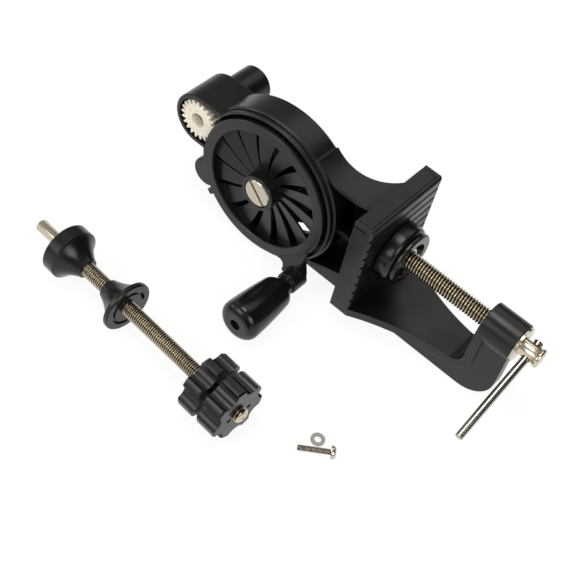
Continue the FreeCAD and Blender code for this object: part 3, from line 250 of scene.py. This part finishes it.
frame_plastic = moulded_plastic("black_abs_spark_eroded", "#100F0E", "#34322E", 0.31, 0.35, 0.008)
wheel_plastic = moulded_plastic("black_abs_fine_satin", "#0E0E0D", "#302E2A", 0.33, 0.30, 0.005, edge_mm=0.3)
knob_plastic = moulded_plastic("black_abs_semi_gloss", "#0E0E0D", "#2A2826", 0.24, 0.50, 0.003)
pad_plastic = moulded_plastic("black_abs_gloss_disc", "#0E0E0D", "#2C2A27", 0.22, 0.50, 0.002)
cone_plastic = moulded_plastic("black_abs_cone", "#0E0E0D", "#2E2C28", 0.26, 0.40, 0.003)
nut_plastic = moulded_plastic("black_abs_star_nut", "#0F0F0E", "#34322E", 0.28, 0.40, 0.004)
bush_plastic = moulded_plastic("grey_acetal_bush", "#3C3C3C", "#4A4A4A", 0.45, 0.40, 0.003)
print("plastics made")

# %% [markdown]
# The jaw's boot is black moulded rubber. Rubber reflects less sharply than plastic and looks
# a little greyer, because its surface is finely matted and holds a trace of dust.

# %% Moulded rubber
boot_rubber = moulded_plastic("black_moulded_rubber", "#121110", "#38352F", 0.38, 0.28, 0.010,
                              gloss_change=0.07)
print("rubber made")

# %% [markdown]
# The pinion is natural white nylon. Nylon is slightly milky: light goes a little way in and
# comes out again, which softens the shade between the teeth.

# %% White nylon
NYLON_GRAIN_MM = 0.6
NYLON_GRAIN_HEIGHT_MM = 0.004

white_nylon, tree, output = new_material("natural_white_nylon")
place = add(tree, "ShaderNodeTexCoord").outputs["Object"]
grain = add(tree, "ShaderNodeTexNoise", {"Vector": place, "Scale": 1 / (NYLON_GRAIN_MM * MM), "Detail": 2.0})
bump = add(tree, "ShaderNodeBump", {
    "Height": grain, "Strength": 1.0, "Distance": NYLON_GRAIN_HEIGHT_MM * MM})
shader = add(tree, "ShaderNodeBsdfPrincipled", {
    "Base Color": linear("#EEE8D8"), "Roughness": 0.42, "Normal": bump, "IOR": 1.53,
    "Subsurface Weight": 0.25, "Subsurface Radius": (1.2 * MM, 1.1 * MM, 1.0 * MM), "Subsurface Scale": 1.0})
tree.links.new(shader.outputs[0], output.inputs["Surface"])
print("nylon made")


# %% [markdown]
# All the metal is steel with a thin bright plating. Turning leaves fine rings round a turned
# piece, and drawing leaves fine lines along a drawn bar. Either way the marks stretch the
# highlight, so they are drawn as noise that is stretched along them, and change both the
# height and the roughness a little. The roots between the crests of a thread are painted
# darker and browner by their depth, as painted shade in the roots.

# %% Plated steel
GLOSSY_SHARE = 0.75
DULL_SHARE = 1.3


def plated_steel(name, colour, painted_root_shade, roughness, axis, along_mm, across_mm, groove_mm):
    """Plated steel with fine marks, which are along_mm long on the piece's axis and across_mm round it."""
    material, tree, output = new_material(name)
    place = add(tree, "ShaderNodeTexCoord").outputs["Object"]
    turn = Vector(axis).to_track_quat("Z", "Y").inverted().to_euler()
    turned = add(tree, "ShaderNodeMapping", {"Vector": place, "Rotation": turn})
    stretched = add(tree, "ShaderNodeMapping", {
        "Vector": turned, "Scale": (1 / (across_mm * MM), 1 / (across_mm * MM), 1 / (along_mm * MM))})
    marks = add(tree, "ShaderNodeTexNoise", {"Vector": stretched, "Scale": 1.0, "Detail": 3.0})
    gloss = add(tree, "ShaderNodeMapRange", {
        "Value": marks, "From Min": NOISE_LOW, "From Max": NOISE_HIGH,
        "To Min": roughness * GLOSSY_SHARE, "To Max": roughness * DULL_SHARE})
    bump = add(tree, "ShaderNodeBump", {"Height": marks, "Strength": 1.0, "Distance": groove_mm * MM})
    # Painted shade: a thread's roots are painted darker and browner, by their depth below the crest.
    depth = add(tree, "ShaderNodeAttribute", attribute_name="thread_depth")
    tint = add(tree, "ShaderNodeMix", {0: depth.outputs["Fac"], 6: linear(colour), 7: linear(painted_root_shade)},
               data_type="RGBA")
    shader = add(tree, "ShaderNodeBsdfPrincipled", {
        "Base Color": tint.outputs[2], "Metallic": 1.0, "Roughness": gloss, "Normal": bump})
    tree.links.new(shader.outputs[0], output.inputs["Surface"])
    return material


spindle_mount = [m for m in frame["record"]["mounts"] if m["name"] == "spindle_stub"][0]
SPINDLE_AXIS = -Vector(spindle_mount["axis"])
AXLE = Vector((0, 1, 0))
SCREW_AXIS = Vector((1, 0, 0))
bar_joint = [j for j in frame["joints"] if j["name"] == "tommy_bar_slide"][0]
BAR_AXIS = Vector(bar_joint["axis"])

turned_nickel = plated_steel("nickel_plate_turned", "#C0B8A8", "#7A7060", 0.22, AXLE, 0.15, 4.0, 0.0006)
screw_nickel = plated_steel("nickel_plate_clamp_thread", "#D0C5AE", "#3A3022", 0.20, SCREW_AXIS,
                            0.4, 3.0, 0.0008)
rod_nickel = plated_steel("nickel_plate_rod_thread", "#CABFA8", "#3A3022", 0.20, SPINDLE_AXIS,
                          0.4, 3.0, 0.0008)
bar_nickel = plated_steel("nickel_plate_drawn_bar", "#ABA79F", "#8A8070", 0.15, BAR_AXIS, 60.0, 0.12, 0.00004)
shaft_steel = plated_steel("turned_steel_shaft", "#8E8A82", "#6A6862", 0.33, AXLE, 0.15, 4.0, 0.001)
washer_zinc = plated_steel("zinc_plate_stamped", "#9A9892", "#6A6862", 0.32, (0, 0, 1), 4.0, 0.5, 0.0008)
small_screw_nickel = plated_steel("nickel_plate_small_screw", "#C8BEB0", "#5E5244", 0.26, SCREW_AXIS,
                                  0.4, 2.0, 0.0006)
print("metals made")

# %% [markdown]
# Every CAD piece whose shape is right stays as it is and takes its finish in its material
# slots. The list says which finish each piece has.

# %% Finishes on the CAD pieces
FINISHES = {
    "main_body": frame_plastic, "jaw_pad": boot_rubber, "front_bush": bush_plastic,
    "rear_bush": bush_plastic, "clamp_nut": turned_nickel, "axle_screw": turned_nickel,
    "axle_sleeve": turned_nickel, "axle_washer": washer_zinc, "axle_nut": turned_nickel,
    "crank_wheel": wheel_plastic, "knob_pin": turned_nickel, "knob_washer": washer_zinc,
    "knob": knob_plastic, "pinion": white_nylon, "drive_shaft": shaft_steel, "clamp_pad": pad_plastic,
    "pad_collar": bar_nickel, "clamp_screw": screw_nickel, "tommy_bar": bar_nickel,
    "spindle_rod": rod_nickel, "fixed_cone": cone_plastic, "sliding_cone": cone_plastic,
    "inner_star_nut": nut_plastic, "outer_star_nut": nut_plastic, "retaining_screw": small_screw_nickel,
    "retaining_washer": washer_zinc,
}
for node, finish in FINISHES.items():
    piece = frame["nodes"][node]
    piece.data.materials.clear()
    piece.data.materials.append(finish)
print("finishes on", len(FINISHES), "pieces")

# %% [markdown]
# A screw thread is a shape that follows a rule: the same profile goes round and round while
# it climbs by one pitch each turn. Geometry Nodes can make it from a flat grid. The columns
# go round the rod, the rows climb, and each column starts a little higher than the one
# before, so that the last one meets the first exactly one pitch up. Twelve rows make one
# turn of the profile, a rounded zigzag between the root and the crest, as rolling leaves it.
# At both ends the heights are held at the end plane and the crest runs out there. The rule
# is a list of sums, one a line: a name, the operation, and what it works on.

# %% Thread tree
ROWS_PER_TURN = 12
RUN_OUT_SLOPE = 1.0
MERGE_DISTANCE = 1e-6
THREAD_RULE = [
    ("turns", "DIVIDE", "length", "pitch"),
    ("longer", "ADD", "turns", 2.0),
    ("whole turns", "CEIL", "longer"),
    ("rows", "MULTIPLY_ADD", "whole turns", ROWS_PER_TURN, 1.0),
    ("gaps", "SUBTRACT", "rows", 1.0),
    ("columns and one", "ADD", "columns", 1.0),
]
POINT_RULE = [
    ("along", "ADD", "grid x", 0.5),
    ("row place", "MULTIPLY", "along", "gaps"),
    ("row", "ROUND", "row place"),
    ("share", "ADD", "grid y", 0.5),
    ("angle", "MULTIPLY", "share", 2 * math.pi),
    ("turn", "DIVIDE", "row", ROWS_PER_TURN),
    ("zigzag", "PINGPONG", "turn", 0.5),
    ("higher", "ADD", "turn", "share"),
    ("climb", "SUBTRACT", "higher", 1.0),
    ("raw height", "MULTIPLY", "climb", "pitch"),
    ("held low", "MAXIMUM", "raw height", 0.0),
    ("height", "MINIMUM", "held low", "length"),
    ("to far end", "SUBTRACT", "length", "height"),
    ("to end", "MINIMUM", "height", "to far end"),
    ("run out", "MULTIPLY_ADD", "to end", RUN_OUT_SLOPE, "root"),
    ("thread height", "SUBTRACT", "crest", "root"),
]
RADIUS_RULE = [
    ("full", "MULTIPLY_ADD", "profile", "thread height", "root"),
    ("radius", "MINIMUM", "full", "run out"),
    ("cosine", "COSINE", "angle"),
    ("sine", "SINE", "angle"),
    ("x", "MULTIPLY", "radius", "cosine"),
    ("y", "MULTIPLY", "radius", "sine"),
    ("below crest", "SUBTRACT", "crest", "radius"),
    ("depth", "DIVIDE", "below crest", "thread height"),
]
CREST_FLAT = 0.07


def add_sums(tree, values, rule):
    """Adds a list of sums to a tree. Each result joins the values under its own name."""
    for name, operation, *inputs in rule:
        terms = {index: values.get(term, term) for index, term in enumerate(inputs)}
        values[name] = add(tree, "ShaderNodeMath", terms, operation=operation)


def thread_tree():
    """Builds the Geometry Nodes tree of a right-hand thread along Z, from Z = 0 up."""
    tree = bpy.data.node_groups.new("right_hand_thread", "GeometryNodeTree")
    tree.interface.new_socket("Geometry", in_out="OUTPUT", socket_type="NodeSocketGeometry")
    for name in ("Crest radius", "Root radius", "Pitch", "Length"):
        tree.interface.new_socket(name, in_out="INPUT", socket_type="NodeSocketFloat")
    tree.interface.new_socket("Columns", in_out="INPUT", socket_type="NodeSocketInt")
    tree.interface.new_socket("Finish", in_out="INPUT", socket_type="NodeSocketMaterial")
    given = add(tree, "NodeGroupInput").outputs
    values = {"crest": given[0], "root": given[1], "pitch": given[2], "length": given[3], "columns": given[4]}
    add_sums(tree, values, THREAD_RULE)
    grid = add(tree, "GeometryNodeMeshGrid", {"Size X": 1.0, "Size Y": 1.0, "Vertices X": values["rows"],
                                              "Vertices Y": values["columns and one"]})
    place = add(tree, "ShaderNodeSeparateXYZ", {0: add(tree, "GeometryNodeInputPosition")})
    values.update({"grid x": place.outputs[0], "grid y": place.outputs[1]})
    add_sums(tree, values, POINT_RULE)
    values["profile"] = add(tree, "ShaderNodeMapRange", {
        "Value": values["zigzag"], "From Min": CREST_FLAT, "From Max": 0.5 - CREST_FLAT},
        interpolation_type="SMOOTHSTEP")
    add_sums(tree, values, RADIUS_RULE)
    point = add(tree, "ShaderNodeCombineXYZ", {0: values["x"], 1: values["y"], 2: values["height"]})
    # The depth below the crest is stored, and the metal finish uses it to paint shade into the thread's roots.
    stored = add(tree, "GeometryNodeStoreNamedAttribute", {
        "Geometry": grid, "Name": "thread_depth", "Value": values["depth"]},
        data_type="FLOAT", domain="POINT")
    wound = add(tree, "GeometryNodeSetPosition", {"Geometry": stored, "Position": point})
    disc = add(tree, "GeometryNodeMeshCircle", {"Vertices": values["columns"], "Radius": values["root"]},
               fill_type="NGON")
    lift = add(tree, "ShaderNodeCombineXYZ", {2: values["length"]})
    far_disc = add(tree, "GeometryNodeTransform", {"Geometry": disc, "Translation": lift})
    near_disc = add(tree, "GeometryNodeFlipFaces", {0: disc})
    joined = add(tree, "GeometryNodeJoinGeometry")
    for part in (wound, far_disc, near_disc):
        tree.links.new(part.outputs[0], joined.inputs[0])
    merged = add(tree, "GeometryNodeMergeByDistance", {"Geometry": joined, "Distance": MERGE_DISTANCE})
    real = add(tree, "GeometryNodeRealizeInstances", {"Geometry": merged})
    coloured = add(tree, "GeometryNodeSetMaterial", {"Geometry": real, "Material": given[5]})
    add(tree, "NodeGroupOutput", {0: coloured})
    return tree


THREAD_TREE = thread_tree()
print("thread tree has", len(THREAD_TREE.nodes), "nodes")

# %% [markdown]
# A threaded piece is made of two kinds of parts: the plain ends come from the CAD piece, cut
# off square by a plane, and the thread fills the stretch between them. Both are closed
# solids that meet face to face. They go into one mesh, which then stands for the CAD piece.

# %% Helpers for threaded pieces
SMOOTH_ANGLE = math.radians(56)


def wind_thread(name, crest, root, pitch, length, columns, finish):
    """A thread along Z as a plain mesh. The sizes are in millimetres."""
    holder = bpy.data.objects.new(name, bpy.data.meshes.new(name))
    scene.collection.objects.link(holder)
    modifier = holder.modifiers.new("thread", "NODES")
    modifier.node_group = THREAD_TREE
    values = {"Crest radius": crest * MM, "Root radius": root * MM, "Pitch": pitch * MM,
              "Length": length * MM, "Columns": columns, "Finish": finish}
    for item in THREAD_TREE.interface.items_tree:
        if item.in_out == "INPUT":
            modifier[item.identifier] = values[item.name]
    bpy.context.view_layer.update()
    graph = bpy.context.evaluated_depsgraph_get()
    mesh = bpy.data.meshes.new_from_object(
        holder.evaluated_get(graph), preserve_all_data_layers=True, depsgraph=graph)
    bpy.data.objects.remove(holder)
    return mesh


def cut_copy(node, point, normal):
    """A closed copy of a CAD piece, with what lies on the far side of a plane taken off."""
    mesh = bmesh.new()
    mesh.from_mesh(frame["nodes"][node].data)
    bmesh.ops.remove_doubles(mesh, verts=mesh.verts, dist=MERGE_DISTANCE)
    everything = mesh.verts[:] + mesh.edges[:] + mesh.faces[:]
    cut = bmesh.ops.bisect_plane(mesh, geom=everything, plane_co=point, plane_no=normal, clear_outer=True)
    rim = [item for item in cut["geom_cut"] if isinstance(item, bmesh.types.BMEdge)]
    bmesh.ops.contextual_create(mesh, geom=rim)
    bmesh.ops.recalc_face_normals(mesh, faces=mesh.faces)
    copy = bpy.data.meshes.new(node + "_end")
    mesh.to_mesh(copy)
    mesh.free()
    return copy


def one_piece(name, meshes, finish):
    """Several closed meshes as one object. The thread's depth goes with its points."""
    mesh = bmesh.new()
    layer = mesh.verts.layers.float.new("thread_depth")
    for source in meshes:
        depth = source.attributes.get("thread_depth")
        points = [mesh.verts.new(vertex.co) for vertex in source.vertices]
        for index, point in enumerate(points):
            point[layer] = depth.data[index].value if depth else 0.0
        for face in source.polygons:
            mesh.faces.new([points[index] for index in face.vertices])
    bmesh.ops.recalc_face_normals(mesh, faces=mesh.faces)
    open_edges = sum(1 for edge in mesh.edges if len(edge.link_faces) != 2)
    result = bpy.data.meshes.new(name)
    mesh.to_mesh(result)
    mesh.free()
    result.shade_smooth()
    result.set_sharp_from_angle(angle=SMOOTH_ANGLE)
    result.materials.append(finish)
    piece = bpy.data.objects.new(name, result)
    scene.collection.objects.link(piece)
    print(name, len(result.polygons), "faces,", open_edges, "open edges")
    return piece


def standing_on(point, axis):
    """The placement that takes the Z axis to a line through a point."""
    return Matrix.Translation(point) @ Vector(axis).to_track_quat("Z", "Y").to_matrix().to_4x4()


# %% [markdown]
# The clamp screw has a rolled M12 thread with a pitch of 2 mm. It runs from the pad's
# socket to the plain head, which is drilled across for the bar. The CAD piece has the head
# and its hole in their places, so the head is kept and the plain shank becomes thread.

# %% Clamp screw
CLAMP_PITCH = 2.0
CLAMP_CREST = 6.0
CLAMP_ROOT = 4.8
CLAMP_HEAD_LENGTH = 16.0
THREAD_COLUMNS = 48

low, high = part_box("clamp_screw")
middle_y = (low.y + high.y) / 2
middle_z = (low.z + high.z) / 2
head_start = high.x - CLAMP_HEAD_LENGTH * MM
start = Vector((low.x, middle_y, middle_z))
length = (head_start - low.x) / MM
thread = wind_thread(
    "clamp_thread", CLAMP_CREST, CLAMP_ROOT, CLAMP_PITCH, length, THREAD_COLUMNS, screw_nickel)
thread.transform(standing_on(start, SCREW_AXIS))
head = cut_copy("clamp_screw", Vector((head_start, middle_y, middle_z)), -SCREW_AXIS)
clamp_screw = one_piece("clamp_screw_threaded", [thread, head], screw_nickel)
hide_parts("clamp_screw")
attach(clamp_screw, "screw")

# %% [markdown]
# The winding spindle is an M10 rod with its coarse pitch of 1.5 mm. One end is turned down
# to a plain stub, which the winder's shaft takes, and the other is domed and has a small
# centre hole from the lathe. Both ends come from the CAD piece.

# %% Winding spindle
ROD_PITCH = 1.5
ROD_CREST = 5.0
ROD_ROOT = 4.15
ROD_LENGTH = 185.0
MOUNT_FROM_TIP = 0.6
SEAT_FROM_TIP = 36.3
DOME_LENGTH = 1.6
STUB_MARGIN = 0.01

tip = Vector(spindle_mount["pos_m"]) - SPINDLE_AXIS * MOUNT_FROM_TIP * MM
seat = tip + SPINDLE_AXIS * SEAT_FROM_TIP * MM
dome = tip + SPINDLE_AXIS * (ROD_LENGTH - DOME_LENGTH) * MM
length = ROD_LENGTH - DOME_LENGTH - SEAT_FROM_TIP
thread = wind_thread("rod_thread", ROD_CREST, ROD_ROOT, ROD_PITCH, length, THREAD_COLUMNS, rod_nickel)
thread.transform(standing_on(seat, SPINDLE_AXIS))
stub = cut_copy("spindle_rod", seat - SPINDLE_AXIS * STUB_MARGIN * MM, SPINDLE_AXIS)
end = cut_copy("spindle_rod", dome, -SPINDLE_AXIS)
spindle = one_piece("spindle_threaded", [stub, thread, end], rod_nickel)
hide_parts("spindle_rod")
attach(spindle, "spindle")

# %% [markdown]
# The fixing screw is an M4 pan head, 20 mm long, with a cross recess. It lies on the table
# with its head's edge and its tip touching it, so its axis rises from the tip to the head by
# the difference of the two radii. The middle of the ring of points at the tip lies on that
# axis. The recess is a cross that narrows as it goes in, as the punch that formed it does.
# A boolean takes it out of the head.

# %% Fixing screw
SMALL_PITCH = 0.7
SMALL_CREST = 2.0
SMALL_ROOT = 1.55
SMALL_LENGTH = 20.0
SMALL_HEAD_RADIUS = 4.0
SMALL_HEAD_HEIGHT = 3.1
SMALL_COLUMNS = 32
SMALL_HEADING = math.radians(33.8)
RECESS_WIDTH = 4.4
RECESS_BLADE = 0.9
RECESS_DEPTH = 1.8
RECESS_TAPER = 0.45
RECESS_MOUTH = 1.1
PUNCH_PROUD = 0.2
RING_DEPTH = 0.02
CUT_MARGIN = 0.05


def ring_middle(node, direction):
    """The middle of the outermost ring of points of a node in a direction."""
    points = {tuple(round(v, 6) for v in vertex.co) for vertex in frame["nodes"][node].data.vertices}
    far = max(Vector(point).dot(direction) for point in points)
    ring = [Vector(point) for point in points if Vector(point).dot(direction) > far - RING_DEPTH * MM]
    return sum(ring, Vector()) / len(ring)


def cross_punch(top):
    """A cross that narrows downwards, from a little above the head's top to the recess's floor."""
    mesh = bmesh.new()
    loops = []
    for height, scale in ((top + PUNCH_PROUD, RECESS_MOUTH), (top - RECESS_DEPTH, RECESS_TAPER)):
        reach = RECESS_WIDTH / 2 * scale
        half = RECESS_BLADE / 2 * scale
        quarter = [(reach, -half), (reach, half), (half, half)]
        corners = []
        for turn in range(4):
            spin = Matrix.Rotation(turn * math.pi / 2, 3, "Z")
            corners += [spin @ Vector((x, y, height)) for x, y in quarter]
        loops.append([mesh.verts.new(corner * MM) for corner in corners])
    upper, lower = loops
    mesh.faces.new(upper)
    mesh.faces.new(lower[::-1])
    for index in range(len(upper)):
        after = (index + 1) % len(upper)
        mesh.faces.new((lower[index], lower[after], upper[after], upper[index]))
    bmesh.ops.recalc_face_normals(mesh, faces=mesh.faces)
    punch = bpy.data.meshes.new("cross_punch")
    mesh.to_mesh(punch)
    mesh.free()
    return punch


def punched(mesh, punch):
    """The mesh with the punch's shape taken out of it."""
    holder = bpy.data.objects.new("head", mesh)
    tool = bpy.data.objects.new("punch", punch)
    for thing in (holder, tool):
        scene.collection.objects.link(thing)
    modifier = holder.modifiers.new("recess", "BOOLEAN")
    modifier.operation = "DIFFERENCE"
    modifier.object = tool
    bpy.context.view_layer.update()
    graph = bpy.context.evaluated_depsgraph_get()
    result = bpy.data.meshes.new_from_object(holder.evaluated_get(graph))
    for thing in (holder, tool):
        bpy.data.objects.remove(thing)
    return result


rise = math.asin((SMALL_HEAD_RADIUS - SMALL_CREST) / SMALL_LENGTH)
level_share = math.cos(rise)
SMALL_AXIS = Vector((math.cos(SMALL_HEADING) * level_share, math.sin(SMALL_HEADING) * level_share,
                     math.sin(rise)))
tip = ring_middle("retaining_screw", -SMALL_AXIS)
length = SMALL_LENGTH - CUT_MARGIN
thread = wind_thread(
    "small_thread", SMALL_CREST, SMALL_ROOT, SMALL_PITCH, length, SMALL_COLUMNS, small_screw_nickel)
thread.transform(standing_on(tip, SMALL_AXIS))
head = cut_copy("retaining_screw", tip + SMALL_AXIS * length * MM, -SMALL_AXIS)
punch = cross_punch(SMALL_LENGTH + SMALL_HEAD_HEIGHT)
punch.transform(standing_on(tip, SMALL_AXIS))
fixing_screw = one_piece("fixing_screw_threaded", [thread, punched(head, punch)], small_screw_nickel)
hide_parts("retaining_screw")
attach(fixing_screw, "fixing_screw")
